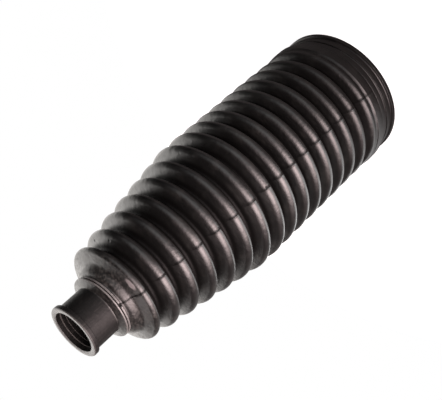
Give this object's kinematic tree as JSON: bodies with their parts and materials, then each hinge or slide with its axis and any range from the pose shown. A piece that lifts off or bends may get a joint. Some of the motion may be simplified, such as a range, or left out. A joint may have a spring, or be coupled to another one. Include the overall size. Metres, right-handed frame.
{
  "type": "rubber bellows boot",
  "caption": "Tapered convoluted rubber boot that seals a sliding, tilting rod: a grooved clamp end, round folds and a collared neck with a sealing land.",
  "frame": {"origin": "on the boot's axis, in the plane of the large end's rim that it stands on", "axes": "+Z along the boot's axis, from the large end's rim to the small end's mouth; the mould's parting plane is the YZ plane"},
  "size_m": [0.0626, 0.0626, 0.168],
  "materials": {
    "boot_rubber": "semi-gloss moulded black rubber"
  },
  "bodies": {
    "root": {"bellows_boot": "boot_rubber"}
  },
  "joints": []
}
